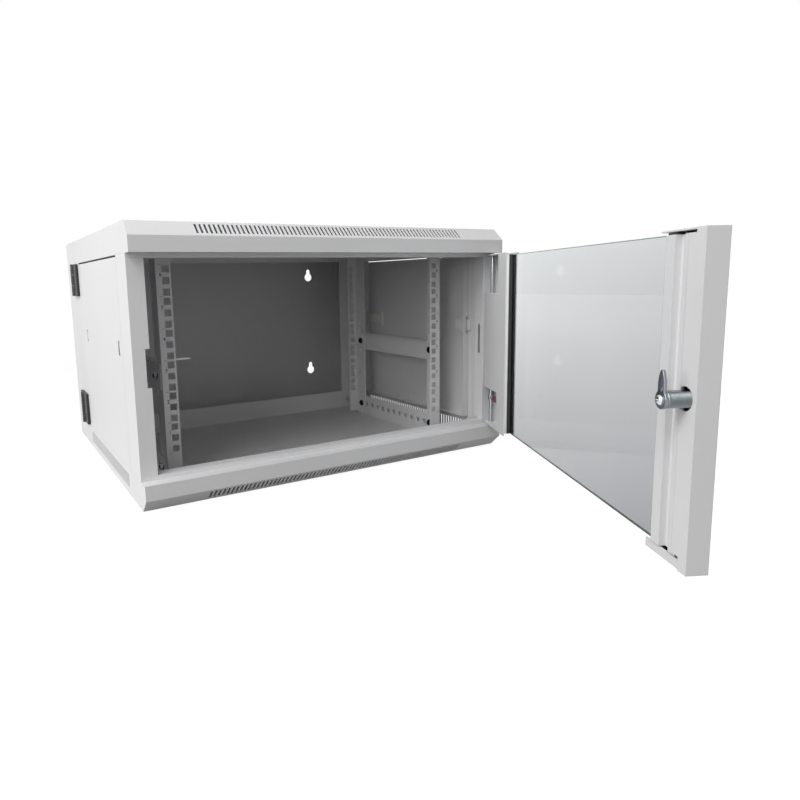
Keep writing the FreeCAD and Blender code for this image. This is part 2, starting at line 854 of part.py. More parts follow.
def lock_plug():
    """Turning plug with its key slot."""
    slot_width_x, slot_height, slot_depth = key_slot
    face = door_front - lock_flange[1]
    body = rod(plug_radius, lock_x, (face, cam_y), lock_z, "Y")
    slot = box(
        (lock_x - slot_width_x / 2, lock_x + slot_width_x / 2),
        (face - 1, face + slot_depth),
        (lock_z - slot_height / 2, lock_z + slot_height / 2),
    )
    screw = rod(cam_screw[2], lock_x, (cam_y - 4 * cam_screw[2], cam_y + 1), lock_z, "Y")
    return carve(body, [slot, screw])


def lock_cam():
    """Flat cam, pointing up when the lock is open."""
    y = (cam_y, cam_y + cam_thickness)
    tip = lock_z + cam_length - cam_tip_radius
    hub = rod(barrel_radius, lock_x, y, lock_z, "Y")
    root = cam_width / 2
    corners = [(-root, lock_z), (-cam_tip_radius, tip), (cam_tip_radius, tip), (root, lock_z)]
    points = [FreeCAD.Vector(lock_x + x, cam_y, z) for x, z in corners + corners[:1]]
    tongue = Part.Face(Part.makePolygon(points)).extrude(along_y * cam_thickness)
    end = rod(cam_tip_radius, lock_x, y, tip, "Y")
    through = (cam_y - 1, cam_y + 2 * cam_thickness)
    return carve(join(hub, tongue, end), [rod(cam_screw[2], lock_x, through, lock_z, "Y")])


def lock_cam_screw():
    """Screw that holds the cam on the plug."""
    head_radius, head, shank_radius = cam_screw
    back = cam_y + cam_thickness
    shank = rod(shank_radius, lock_x, (cam_y - 3 * shank_radius, back + 1), lock_z, "Y")
    return join(rod(head_radius, lock_x, (back, back + head), lock_z, "Y"), shank)


os.makedirs("parts", exist_ok=True)

save("back_wall", back_wall())
save("rear_roof", rear_roof())
save("rear_floor", mirror_z(rear_roof()))
both_sides("rear_side", rear_side())
for place, span in swing_hinge_spans().items():
    save(place + "_swing_hinge_rear_leaf", swing_leaf(span, False))
    save(place + "_swing_hinge_front_leaf", swing_leaf(span, True))
save("swing_hinge_pins", swing_pins())

save("roof_cover", roof())
save("floor_pan", floor())
save("front_top_beam", front_beam())
save("front_bottom_beam", mirror_z(front_beam()))
save("right_front_post", front_post(False))
save("left_front_post", mirror_x(front_post(True)))
both_sides("rear_post", rear_post())
both_sides("front_rail", rail(front_rail_y, (front_rail_y, front_rail_y + rail_side_depth), bolt_ys[0]))
rear_rail_back = rear_rail_y + rail_sheet
both_sides("rear_rail", rail(rear_rail_y, (rear_rail_back - rail_side_depth, rear_rail_back), bolt_ys[1]))
both_sides("floor_brace", low_brace())
both_sides("middle_brace", mid_brace())
both_sides("roof_brace", mirror_z(low_brace()))
save("rail_bolts", rail_bolts())
save("rail_nuts", rail_nuts())
both_sides("side_panel", side_panel())
both_sides("front_latch", latch(False))
both_sides("rear_latch", latch(True))
save("seam_screws", seam_screws())
save("ground_stud", ground_stud())

save("hinge_strip", hinge_strip(), True)
save("lock_strip", lock_strip(), True)
save("lock_strip_lining", lock_strip_lining(), True)
save("door_glass", pane(), True)
save("hinge_side_seal", hinge_side_seal(), True)
save("lock_side_seal", lock_side_seal(), True)
save("glass_clips", glass_clips(), True)
save("upper_hinge_pin", upper_hinge_pin(), True)
save("lower_hinge_bolt", lower_hinge_bolt(), True)
save("release_knob", release_knob(), True)
save("lower_bolt_spring", lower_bolt_spring(), True)
save("lock_barrel", lock_barrel(), True)
save("lock_barrel_nut", lock_barrel_nut(), True)
save("lock_plug", lock_plug(), True)
save("lock_cam", lock_cam(), True)
save("lock_cam_screw", lock_cam_screw(), True)
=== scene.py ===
import json
import math

import bpy
from mathutils import Matrix, Vector


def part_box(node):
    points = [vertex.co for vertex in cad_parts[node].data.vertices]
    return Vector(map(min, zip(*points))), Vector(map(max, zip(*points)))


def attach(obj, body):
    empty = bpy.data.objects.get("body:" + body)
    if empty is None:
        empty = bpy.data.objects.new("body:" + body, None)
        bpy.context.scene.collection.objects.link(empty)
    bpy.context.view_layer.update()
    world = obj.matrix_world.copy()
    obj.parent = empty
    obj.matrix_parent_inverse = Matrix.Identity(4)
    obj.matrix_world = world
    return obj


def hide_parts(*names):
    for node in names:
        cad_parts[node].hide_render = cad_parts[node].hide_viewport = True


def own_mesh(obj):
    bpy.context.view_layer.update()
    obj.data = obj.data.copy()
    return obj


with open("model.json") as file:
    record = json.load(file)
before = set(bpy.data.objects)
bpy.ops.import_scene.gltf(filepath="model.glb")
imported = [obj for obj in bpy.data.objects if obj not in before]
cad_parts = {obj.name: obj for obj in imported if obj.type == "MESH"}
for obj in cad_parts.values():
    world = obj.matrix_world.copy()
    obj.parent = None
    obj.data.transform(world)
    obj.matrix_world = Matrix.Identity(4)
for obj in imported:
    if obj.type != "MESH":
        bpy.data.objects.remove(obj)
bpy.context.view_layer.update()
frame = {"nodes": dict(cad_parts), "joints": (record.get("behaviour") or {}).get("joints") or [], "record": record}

# Swing-frame wall cabinet in light grey powder coat, its glass door open.
# Lengths below are millimetres in the maker's drawing: X right, Y back from the cabinet's front plane, Z up.
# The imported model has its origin 275 mm behind the front plane.
DEPTH_TO_ORIGIN = 275.0

# Door, drawn closed and then turned open about its pins
PIN = (288.0, 9.4)
SKIN_FRONT = -0.5
PANE_X = (-245.0, 204.0)
PANE_Y = (4.0, 9.0)
PANE_Z = (46.0, 323.0)
STRIP_END = 188.0
SEAL_SPLIT = 14.2
LOCK = (-273.0, 189.0)
CAM_FACE = 37.6
CAM_BACK = 40.1
KNOB_Z = 86.0
HUB_TOP = 90.0
SPRING_TOP = 104.5

# Rails
RAIL_FACE = 96.0
NUMERAL_X = 239.6
LOWEST_UNIT = 50.65
UNIT = 44.45
BOLT_ROWS = (123.0, 360.0)
BOLT_HEIGHTS = (25.5, 161.0, 342.5)
RAIL_SIDE = 244.0
BRACE_BACK = 247.5


def drawing(x, y, z):
    """Point of the drawing, in the model's metres."""
    return Vector((x, y - DEPTH_TO_ORIGIN, z)) / 1000


def linear(code):
    """Linear colour of an sRGB hex code."""
    channels = [int(code[i:i + 2], 16) / 255 for i in (1, 3, 5)]
    return tuple([c / 12.92 if c <= 0.04045 else ((c + 0.055) / 1.055) ** 2.4 for c in channels] + [1.0])


def add(tree, kind, settings=None, values=None, links=None):
    """Adds a shader node with its settings, socket values and incoming links."""
    node = tree.nodes.new(kind)
    for name, value in (settings or {}).items():
        setattr(node, name, value)
    for name, value in (values or {}).items():
        node.inputs[name].default_value = value
    for name, source in (links or {}).items():
        tree.links.new(source, node.inputs[name])
    return node


def finish_named(name, values):
    """New material with one principled shader, set to a finish's constants."""
    material = bpy.data.materials.new(name)
    material.use_nodes = True
    tree = material.node_tree
    shader = tree.nodes["Principled BSDF"]
    for socket, value in values.items():
        shader.inputs[socket].default_value = value
    place = add(tree, "ShaderNodeTexCoord").outputs["Object"]
    return material, tree, shader, place


def tone(tree, amount, low, high):
    """Colour between two hex codes by an amount."""
    mix = add(tree, "ShaderNodeMix", {"data_type": "RGBA"}, links={"Factor": amount})
    mix.inputs["A"].default_value = linear(low)
    mix.inputs["B"].default_value = linear(high)
    return mix.outputs["Result"]


def powder_coat(name, light, dark, rough, fold):
    """Baked polyester powder on sheet steel: satin, with fine orange peel and soft folds."""
    material, tree, shader, place = finish_named(name, {"Roughness": rough, "IOR": 1.5})
    # Film thickness drifts over about 150 mm, which the eye sees as a faint change of tone
    cloud = add(tree, "ShaderNodeTexNoise", values={"Scale": 7.0, "Detail": 2.0}, links={"Vector": place})
    # Orange peel of about 1.6 mm waves
    peel = add(tree, "ShaderNodeTexNoise", values={"Scale": 620.0, "Detail": 1.5}, links={"Vector": place})
    # Fingermarks and dust change the gloss over a few centimetres
    smear = add(tree, "ShaderNodeTexNoise", values={"Scale": 28.0, "Detail": 4.0}, links={"Vector": place})
    tree.links.new(tone(tree, cloud.outputs["Fac"], dark, light), shader.inputs["Base Color"])
    gloss = add(
        tree, "ShaderNodeMapRange", values={"To Min": rough - 0.05, "To Max": rough + 0.07},
        links={"Value": smear.outputs["Fac"]},
    )
    tree.links.new(gloss.outputs["Result"], shader.inputs["Roughness"])
    edge = add(tree, "ShaderNodeBevel", {"samples": 4}, {"Radius": fold})
    bump = add(
        tree, "ShaderNodeBump", values={"Strength": 0.10, "Distance": 0.0002},
        links={"Height": peel.outputs["Fac"], "Normal": edge.outputs["Normal"]},
    )
    tree.links.new(bump.outputs["Normal"], shader.inputs["Normal"])
    return material


def metal(name, light, dark, rough, grain, stretch, depth):
    """Plated or machined steel with a grain of the given pitch, stretched along the tool's path."""
    material, tree, shader, place = finish_named(name, {"Metallic": 1.0})
    turn = add(tree, "ShaderNodeMapping", values={"Scale": stretch}, links={"Vector": place})
    pattern = add(
        tree, "ShaderNodeTexNoise", values={"Scale": 1 / grain, "Detail": 3.0},
        links={"Vector": turn.outputs["Vector"]},
    )
    tree.links.new(tone(tree, pattern.outputs["Fac"], dark, light), shader.inputs["Base Color"])
    gloss = add(
        tree, "ShaderNodeMapRange", values={"To Min": rough * 0.8, "To Max": rough * 1.25},
        links={"Value": pattern.outputs["Fac"]},
    )
    tree.links.new(gloss.outputs["Result"], shader.inputs["Roughness"])
    bump = add(
        tree, "ShaderNodeBump", values={"Strength": depth, "Distance": 0.0001},
        links={"Height": pattern.outputs["Fac"]},
    )
    tree.links.new(bump.outputs["Normal"], shader.inputs["Normal"])
    return material


def moulding(name, light, dark, rough, texture, depth):
    """Moulded plastic or rubber with the fine spark texture of its tool."""
    material, tree, shader, place = finish_named(name, {"IOR": 1.5})
    spark = add(
        tree, "ShaderNodeTexNoise", values={"Scale": 1 / texture, "Detail": 3.0}, links={"Vector": place}
    )
    cloud = add(tree, "ShaderNodeTexNoise", values={"Scale": 60.0, "Detail": 2.0}, links={"Vector": place})
    tree.links.new(tone(tree, cloud.outputs["Fac"], dark, light), shader.inputs["Base Color"])
    gloss = add(
        tree, "ShaderNodeMapRange", values={"To Min": rough - 0.06, "To Max": rough + 0.08},
        links={"Value": spark.outputs["Fac"]},
    )
    tree.links.new(gloss.outputs["Result"], shader.inputs["Roughness"])
    bump = add(
        tree, "ShaderNodeBump", values={"Strength": depth, "Distance": 0.0002},
        links={"Height": spark.outputs["Fac"]},
    )
    tree.links.new(bump.outputs["Normal"], shader.inputs["Normal"])
    return material


def tinted_float_glass():
    """Toughened float glass, tinted grey in the melt: clear and flat, with very faint roller wave, and a painted
    reflection across the pane.
    """
    material, tree, shader, place = finish_named(
        "tinted_float_glass",
        {"Transmission Weight": 1.0, "Roughness": 0.0, "IOR": 1.12},
    )
    wave = add(tree, "ShaderNodeTexNoise", values={"Scale": 9.0, "Detail": 1.0}, links={"Vector": place})
    # Painted reflection: the colour is made darker towards the lock and the foot of the pane and lighter away from
    # them, standing in for the surroundings mirrored in it; the low refraction keeps the cabinet's mirror image
    # out of the pane, which the real pane doesn't show either
    painted_reflection_slope = add(
        tree, "ShaderNodeVectorMath", {"operation": "DOT_PRODUCT"}, {1: (1.96, 0.0, 2.17)}, {0: place}
    )
    wave_and_painted_reflection = add(
        tree, "ShaderNodeMath", {"operation": "MULTIPLY_ADD"}, {1: 0.05},
        {0: wave.outputs["Fac"], 2: painted_reflection_slope.outputs["Value"]},
    )
    # Amount of the painted reflection, with the roller wave, cut at zero; it runs the tint from its darker grey to
    # its lighter grey
    level = add(
        tree, "ShaderNodeMath", {"operation": "SUBTRACT", "use_clamp": True}, {1: 0.18},
        {0: wave_and_painted_reflection.outputs[0]},
    )
    tree.links.new(tone(tree, level.outputs[0], "#96969A", "#ECEFEF"), shader.inputs["Base Color"])
    bump = add(
        tree, "ShaderNodeBump", values={"Strength": 0.02, "Distance": 0.0005},
        links={"Height": wave.outputs["Fac"]},
    )
    tree.links.new(bump.outputs["Normal"], shader.inputs["Normal"])
    return material


def ground_glass_edge():
    """Ground edge of the pane: frosted, and dark green because the eye looks along the glass."""
    material, tree, shader, place = finish_named("ground_glass_edge", {"IOR": 1.5})
    grit = add(tree, "ShaderNodeTexNoise", values={"Scale": 2500.0, "Detail": 2.0}, links={"Vector": place})
    tree.links.new(tone(tree, grit.outputs["Fac"], "#5E7671", "#7D948F"), shader.inputs["Base Color"])
    gloss = add(
        tree, "ShaderNodeMapRange", values={"To Min": 0.3, "To Max": 0.5},
        links={"Value": grit.outputs["Fac"]},
    )
    tree.links.new(gloss.outputs["Result"], shader.inputs["Roughness"])
    return material


finishes = {
    "cabinet_paint": powder_coat("light_grey_powder_coat", "#D7D7D8", "#D1D1D2", 0.42, 0.0008),
    "black_paint": powder_coat("black_powder_coat", "#26272A", "#1D1E20", 0.45, 0.0005),
    "zinc": metal("zinc_plated_steel", "#C6C9CC", "#AEB2B6", 0.30, 0.0035, (1, 1, 1), 0.05),
    "black_zinc": metal("black_zinc_steel", "#3A3C40", "#26282B", 0.28, 0.002, (1, 1, 1), 0.05),
    "lock_chrome": metal("chromed_zinc_casting", "#D9DBDD", "#CDD0D2", 0.12, 0.006, (1, 1, 1), 0.03),
    "lock_nickel": metal("turned_nickel_plate", "#8B9092", "#72787A", 0.32, 0.0012, (1, 6, 1), 0.06),
    "dark_steel": metal("stamped_blackened_steel", "#8F9399", "#7C8087", 0.42, 0.0009, (1, 1, 0.15), 0.10),
    "seal_rubber": moulding("extruded_epdm_rubber", "#25272A", "#1B1D1F", 0.55, 0.0012, 0.08),
    "clip_plastic": moulding("black_nylon_moulding", "#222326", "#191A1C", 0.42, 0.0010, 0.08),
    "red_plastic": moulding("red_polypropylene_moulding", "#7E1B2A", "#6A1522", 0.35, 0.0010, 0.06),
    "latch_plastic": moulding("light_grey_abs_moulding", "#E6E6E1", "#DCDCD8", 0.40, 0.0010, 0.08),
    "white_nylon": moulding("white_nylon_strip", "#F4F4EF", "#E8E8E4", 0.35, 0.0010, 0.05),
    "ink": moulding("screen_print_ink", "#3B3D40", "#323437", 0.55, 0.0015, 0.03),
    "tinted_glass": tinted_float_glass(),
    "glass_edge": ground_glass_edge(),
}


def clear():
    """Leaves nothing selected and no object in edit mode."""
    if bpy.context.object and bpy.context.object.mode == "EDIT":
        bpy.ops.object.mode_set(mode="OBJECT")
    bpy.ops.object.select_all(action="DESELECT")


def settle(piece):
    """Puts a piece's place, turn and size into its mesh."""
    clear()
    piece.select_set(True)
    bpy.context.view_layer.objects.active = piece
    bpy.ops.object.transform_apply(location=True, rotation=True, scale=True)
    return piece


def block(name, low, high):
    """Box between two corners of the drawing."""
    clear()
    a, b = drawing(*low), drawing(*high)
    bpy.ops.mesh.primitive_cube_add(size=1, location=(a + b) / 2)
    piece = bpy.context.object
    piece.name = name
    piece.scale = b - a
    return settle(piece)


def turned(name, place, direction, steps, sides=48):
    """Turned piece: a disc drawn out step by step along its axis, where steps are (mm, radius)."""
    clear()
    start, radius = steps[0]
    bpy.ops.mesh.primitive_circle_add(
        vertices=sides, radius=radius / 1000, fill_type="NGON", location=(0, 0, start / 1000)
    )
    piece = bpy.context.object
    piece.name = name
    bpy.ops.object.mode_set(mode="EDIT")
    bpy.ops.mesh.select_all(action="SELECT")
    along = start
    for distance, wide in steps[1:]:
        rise = (distance - along) / 1000
        bpy.ops.mesh.extrude_region_move(TRANSFORM_OT_translate={"value": (0, 0, rise)})
        share = wide / radius
        bpy.ops.transform.resize(value=(share, share, 1), center_override=(0, 0, distance / 1000))
        along, radius = distance, wide
    bpy.ops.mesh.select_all(action="SELECT")
    bpy.ops.mesh.normals_make_consistent(inside=False)
    bpy.ops.object.mode_set(mode="OBJECT")
    settle(piece)
    quarter = Vector((0, 0, 1)).rotation_difference(Vector(direction)).to_matrix().to_4x4()
    piece.matrix_world = Matrix.Translation(drawing(*place)) @ quarter
    return settle(piece)


def pick_faces(piece, wanted):
    """Selects in edit mode the faces whose centre and normal the test accepts."""
    clear()
    bpy.context.view_layer.objects.active = piece
    piece.select_set(True)
    bpy.ops.object.mode_set(mode="EDIT")
    bpy.ops.mesh.select_mode(type="FACE")
    bpy.ops.mesh.select_all(action="DESELECT")
    bpy.ops.object.mode_set(mode="OBJECT")
    for face in piece.data.polygons:
        face.select = wanted(face)
    bpy.ops.object.mode_set(mode="EDIT")


def leave_edit():
    """Back to object mode."""
    bpy.ops.object.mode_set(mode="OBJECT")


def soften(piece, width, segments=2, angle=30):
    """Rounds the edges sharper than an angle, and smooths the shading between them."""
    clear()
    piece.select_set(True)
    bpy.context.view_layer.objects.active = piece
    bevel = piece.modifiers.new("round", "BEVEL")
    bevel.width = width / 1000
    bevel.segments = segments
    bevel.limit_method = "ANGLE"
    bevel.angle_limit = math.radians(angle)
    bpy.ops.object.modifier_apply(modifier=bevel.name)
    bpy.ops.object.shade_smooth_by_angle(angle=math.radians(35))
    return piece


def carve(piece, tools):
    """Cuts other shapes out of a piece."""
    for tool in tools:
        clear()
        piece.select_set(True)
        bpy.context.view_layer.objects.active = piece
        cut = piece.modifiers.new("cut", "BOOLEAN")
        cut.operation = "DIFFERENCE"
        cut.object = tool
        cut.solver = "EXACT"
        bpy.ops.object.modifier_apply(modifier=cut.name)
        bpy.data.objects.remove(tool)
    return piece


def merge(name, pieces):
    """Joins pieces into one object."""
    clear()
    for piece in pieces:
        piece.select_set(True)
    bpy.context.view_layer.objects.active = pieces[0]
    if len(pieces) > 1:
        bpy.ops.object.join()
    pieces[0].name = name
    return pieces[0]


def copy_of(piece, name, change):
    """Copy with its own mesh, moved or mirrored by a matrix."""
    twin = piece.copy()
    twin.data = piece.data.copy()
    twin.name = name
    bpy.context.scene.collection.objects.link(twin)
    twin.matrix_world = change
    settle(twin)
    if change.determinant() < 0:
        clear()
        twin.select_set(True)
        bpy.context.view_layer.objects.active = twin
        bpy.ops.object.mode_set(mode="EDIT")
        bpy.ops.mesh.select_all(action="SELECT")
        bpy.ops.mesh.normals_make_consistent(inside=False)
        bpy.ops.object.mode_set(mode="OBJECT")
    return twin


def moved(x, y, z):
    """Shift in millimetres."""
    return Matrix.Translation(Vector((x, y, z)) / 1000)


door_joint = [joint for joint in frame["joints"] if joint["name"] == "door_swing"][0]
pin_foot = drawing(PIN[0], PIN[1], 0)
OPENED = (
    Matrix.Translation(pin_foot)
    @ Matrix.Rotation(-math.radians(door_joint["range_deg"][0]), 4, "Z")
    @ Matrix.Translation(-pin_foot)
)


def on_door(piece):
    """Turns a piece that was drawn on the closed door to where the open door is."""
    piece.matrix_world = OPENED
    return settle(piece)


def wear(piece, finish, body, nodes=()):
    """Gives a finished piece its material, its body, and the nodes that it stands for."""
    piece.data.materials.clear()
    piece.data.materials.append(finishes[finish])
    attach(piece, body)
    if nodes:
        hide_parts(*nodes)
    return piece


# CAD nodes that stay take the finish of their slot
for row in frame["record"]["subparts"]:
    node = frame["nodes"][row["node"]]
    node.data.materials.clear()
    node.data.materials.append(finishes[row["material_slot"]])
    for face in node.data.polygons:
        face.use_smooth = False


# Glass pane with ground and arrissed edges
glass = block("door_pane", (PANE_X[0], PANE_Y[0], PANE_Z[0]), (PANE_X[1], PANE_Y[1], PANE_Z[1]))
soften(glass, 0.7, 1)
wear(glass, "tinted_glass", "door", ["door_glass"])
glass.data.materials.append(finishes["glass_edge"])
for face in glass.data.polygons:
    face.material_index = 0 if abs(face.normal.y) > 0.99 else 1
    face.use_smooth = False
on_door(glass)
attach(glass, "door")


def hinge_seal():
    """Black seal that grips the pane in the hinge strip's open end, its lip lying on the pane."""
    body = block("hinge_seal", (STRIP_END, 1.0, PANE_Z[0]), (206.0, SEAL_SPLIT, PANE_Z[1]))
    carve(body, [block("slot", (170, PANE_Y[0], 0), (PANE_X[1], PANE_Y[1], 400))])
    lip = block("lip", (STRIP_END - 0.9, PANE_Y[1], PANE_Z[0]), (STRIP_END + 1.0, PANE_Y[1] + 2.2, PANE_Z[1]))
    soften(body, 0.3)
    soften(lip, 0.6, 3)
    return merge("hinge_seal", [body, lip])


def seal_carrier():
    """Light hard profile that holds the black seal against the hinge strip's inner wall."""
    return soften(block("seal_carrier", (STRIP_END, SEAL_SPLIT, PANE_Z[0]), (206.0, 17.8, PANE_Z[1])), 0.3)


def lock_seal():
    """Seal under the rib of the lining, round the pane's other edge."""
    body = block("lock_seal", (-247.0, 1.0, PANE_Z[0]), (-234.2, 10.5, PANE_Z[1]))
    carve(body, [block("slot", (PANE_X[0], PANE_Y[0], 0), (-200, PANE_Y[1], 400))])
    return soften(body, 0.3)


wear(on_door(hinge_seal()), "seal_rubber", "door", ["hinge_side_seal"])
wear(on_door(seal_carrier()), "latch_plastic", "door")
wear(on_door(lock_seal()), "seal_rubber", "door", ["lock_side_seal"])


def barrel():
    """Lock body: cut thread with a flat on each side, and the flange outside the door."""
    steps = [(SKIN_FRONT - 2.5, 10.6), (SKIN_FRONT - 2.1, 11.3), (SKIN_FRONT - 0.8, 11.5), (SKIN_FRONT, 11.5)]
    steps += [(SKIN_FRONT + 0.05, 7.4)]
    place = SKIN_FRONT + 0.5
    while place < 35.4:
        steps += [(place, 7.4), (place + 0.5, 8.0)]
        place += 1.0
    steps += [(36.6, 8.0), (37.2, 7.5)]
    body = turned("lock_body", (LOCK[0], 0, LOCK[1]), (0, 1, 0), steps)
    flats = [
        block("flat", (LOCK[0] - 20, 4, LOCK[1] + 6.6), (LOCK[0] + 20, 60, LOCK[1] + 20)),
        block("flat", (LOCK[0] - 20, 4, LOCK[1] - 20), (LOCK[0] + 20, 60, LOCK[1] - 6.6)),
    ]
    bore = turned("bore", (LOCK[0], 0, LOCK[1]), (0, 1, 0), [(-6, 5.06), (60, 5.06)])
    return carve(body, flats + [bore])


def ring_nut():
    """Hexagon nut against the door's skin, its corners chamfered."""
    nut = turned(
        "lock_nut", (LOCK[0], 0, LOCK[1]), (0, 1, 0), [(1.0, 11.6), (1.5, 12.5), (3.5, 12.5), (4.0, 11.6)], 6
    )
    bore = turned("bore", (LOCK[0], 0, LOCK[1]), (0, 1, 0), [(-6, 8.02), (60, 8.02)])
    return soften(carve(nut, [bore]), 0.2)


def key_plug():
    """Turning plug, with the key slot in its outer face and the bright hub under the cam."""
    body = turned(
        "key_plug", (LOCK[0], 0, LOCK[1]), (0, 1, 0),
        [(-3.0, 4.6), (-2.6, 5.0), (36.9, 5.0), (37.0, 5.0), (CAM_FACE, 5.0)],
    )
    slot = block("slot", (LOCK[0] - 0.7, -6, LOCK[1] - 3.25), (LOCK[0] + 0.7, 3, LOCK[1] + 3.25))
    screw = turned("hole", (LOCK[0], 0, LOCK[1]), (0, 1, 0), [(30, 2.5), (60, 2.5)])
    return soften(carve(body, [slot, screw]), 0.15)


def cam():
    """Stamped cam: round hub and a tapered tongue with a blunt round tip."""
    hub = turned(
        "cam_hub", (LOCK[0], 0, LOCK[1]), (0, 1, 0),
        [(CAM_FACE, 8.0), (CAM_BACK - 0.4, 8.0), (CAM_BACK, 7.6)],
    )
    tongue = block("tongue", (LOCK[0] - 5.0, CAM_FACE, LOCK[1]), (LOCK[0] + 5.0, CAM_BACK, LOCK[1] + 15))
    pick_faces(tongue, lambda face: face.normal.z > 0.9)
    bpy.ops.transform.resize(value=(0.92, 1, 1), center_override=drawing(LOCK[0], CAM_FACE, LOCK[1] + 15))
    for rise, reach, share in ((4.5, 19.5, 0.76), (3.3, 22.8, 0.66), (1.7, 24.5, 0.42)):
        bpy.ops.mesh.extrude_region_move(TRANSFORM_OT_translate={"value": (0, 0, rise / 1000)})
        bpy.ops.transform.resize(
            value=(share, 1, 1), center_override=drawing(LOCK[0], CAM_FACE, LOCK[1] + reach)
        )
    leave_edit()
    soften(tongue, 0.5, 3, 50)
    for part in (hub, tongue):
        carve(part, [turned("hole", (LOCK[0], 0, LOCK[1]), (0, 1, 0), [(30, 2.52), (60, 2.52)])])
    return merge("lock_tongue", [hub, tongue])


def domed_screw():
    """Screw in the cam: bright domed head on its washer, with a cross recess."""
    head = turned(
        "cam_screw", (LOCK[0], 0, LOCK[1]), (0, 1, 0),
        [(30.5, 2.2), (31, 2.5), (CAM_BACK, 2.5), (CAM_BACK + 0.02, 4.5), (CAM_BACK + 0.6, 4.5),
         (CAM_BACK + 0.7, 4.0), (CAM_BACK + 1.5, 3.7), (CAM_BACK + 2.1, 3.0), (CAM_BACK + 2.5, 2.0),
         (CAM_BACK + 2.68, 0.9), (CAM_BACK + 2.7, 0.2)],
    )
    cross = [
        block("arm", (LOCK[0] - 1.7, CAM_BACK + 1.6, LOCK[1] - 0.32), (LOCK[0] + 1.7, 50, LOCK[1] + 0.32)),
        block("arm", (LOCK[0] - 0.32, CAM_BACK + 1.6, LOCK[1] - 1.7), (LOCK[0] + 0.32, 50, LOCK[1] + 1.7)),
    ]
    carve(head, cross)
    clear()
    head.select_set(True)
    bpy.context.view_layer.objects.active = head
    bpy.ops.object.shade_smooth_by_angle(angle=math.radians(40))
    return head


wear(on_door(barrel()), "lock_nickel", "door", ["lock_barrel"])
wear(on_door(ring_nut()), "lock_chrome", "door", ["lock_barrel_nut"])
wear(on_door(key_plug()), "lock_chrome", "lock", ["lock_plug"])
wear(on_door(cam()), "dark_steel", "lock", ["lock_cam"])
wear(on_door(domed_screw()), "lock_chrome", "lock", ["lock_cam_screw"])


def knob():
    """Release knob: plated clamp hub and stem on the pin, and a red finger grip with rings on its end."""
    hub = turned(
        "hub", (PIN[0], PIN[1], 0), (0, 0, 1),
        [(KNOB_Z - 4, 4.5), (KNOB_Z - 3.5, 5.0), (KNOB_Z + 3.5, 5.0), (KNOB_Z + 4, 4.5)],
    )
    steps = [(0, 3.0), (1, 3.7), (2, 4.0)]
    for ring in range(5):
        steps += [(4 + 2 * ring, 4.0), (4.5 + 2 * ring, 3.5), (5.3 + 2 * ring, 3.5), (5.8 + 2 * ring, 4.0)]
    steps += [(22.0, 4.0)]
    grip = turned("release_grip", (PIN[0] - 42, PIN[1], KNOB_Z), (1, 0, 0), steps)
    stem = turned("stem", (PIN[0] - 20, PIN[1], KNOB_Z), (1, 0, 0), [(0, 3.0), (17, 3.0)])
    for part in (hub, stem):
        carve(part, [turned("bore", (PIN[0], PIN[1], 0), (0, 0, 1), [(60, 3.0), (120, 3.0)])])
    arm = merge("release_arm", [hub, stem])
    for part in (grip, arm):
        clear()
        part.select_set(True)
        bpy.context.view_layer.objects.active = part
        bpy.ops.object.shade_smooth_by_angle(angle=math.radians(40))
    return grip, arm


release_grip, release_arm = knob()
wear(on_door(release_grip), "red_plastic", "hinge_bolt", ["release_knob"])
wear(on_door(release_arm), "zinc", "hinge_bolt")


def coil_spring():
    """Compression spring of 0.9 mm wire, closed at both ends."""
    clear()
    bpy.ops.mesh.primitive_circle_add(vertices=10, radius=0.00045, rotation=(math.pi / 2, 0, 0))
    spring = bpy.context.object
    spring.name = "coil_spring"
    bpy.ops.object.transform_apply(location=True, rotation=True, scale=True)
    bpy.ops.object.mode_set(mode="EDIT")
    bpy.ops.mesh.select_all(action="SELECT")
    bpy.ops.transform.translate(value=(0.0042, 0, 0.00045))
    bpy.ops.object.mode_set(mode="OBJECT")
    winding = spring.modifiers.new("winding", "SCREW")
    turns = 6
    winding.screw_offset = (SPRING_TOP - HUB_TOP - 0.9) / 1000 / turns
    winding.iterations = turns
    winding.steps = 28
    winding.render_steps = 28
    bpy.ops.object.modifier_apply(modifier=winding.name)
    bpy.ops.object.mode_set(mode="EDIT")
    bpy.ops.mesh.select_all(action="SELECT")
    bpy.ops.mesh.remove_doubles(threshold=0.00001)
    bpy.ops.mesh.select_all(action="DESELECT")
    bpy.ops.mesh.select_mode(type="EDGE")
    bpy.ops.mesh.select_non_manifold()
    bpy.ops.mesh.edge_face_add()
    bpy.ops.mesh.select_all(action="SELECT")
    bpy.ops.mesh.normals_make_consistent(inside=False)
    bpy.ops.object.mode_set(mode="OBJECT")
    bpy.ops.object.shade_smooth()
    spring.matrix_world = Matrix.Translation(drawing(PIN[0], PIN[1], HUB_TOP))
    return settle(spring)


spring = wear(on_door(coil_spring()), "zinc", "hinge_bolt", ["lower_bolt_spring"])
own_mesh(spring)


def door_pins():
    """Fixed upper pin and sliding lower pin, with chamfered ends and a clip groove."""
    upper = turned(
        "upper_pin", (PIN[0], PIN[1], 0), (0, 0, 1),
        [(256.0, 2.3), (256.8, 3.0), (259.0, 3.0), (259.1, 2.5), (259.9, 2.5), (260.0, 3.0),
         (334.2, 3.0), (335.5, 1.9)],
    )
    low, high = 32.5, 112.0
    lower = turned(
        "lower_pin", (PIN[0], PIN[1], 0), (0, 0, 1),
        [(low, 1.9), (low + 1.3, 3.0), (high - 3, 3.0), (high - 2.9, 2.5), (high - 2.1, 2.5), (high - 2, 3.0),
         (high - 0.8, 3.0), (high, 2.3)],
    )
    return soften(upper, 0.1), soften(lower, 0.1)


upper_pin, lower_pin = door_pins()
wear(on_door(upper_pin), "zinc", "door", ["upper_hinge_pin"])
wear(on_door(lower_pin), "zinc", "hinge_bolt", ["lower_hinge_bolt"])


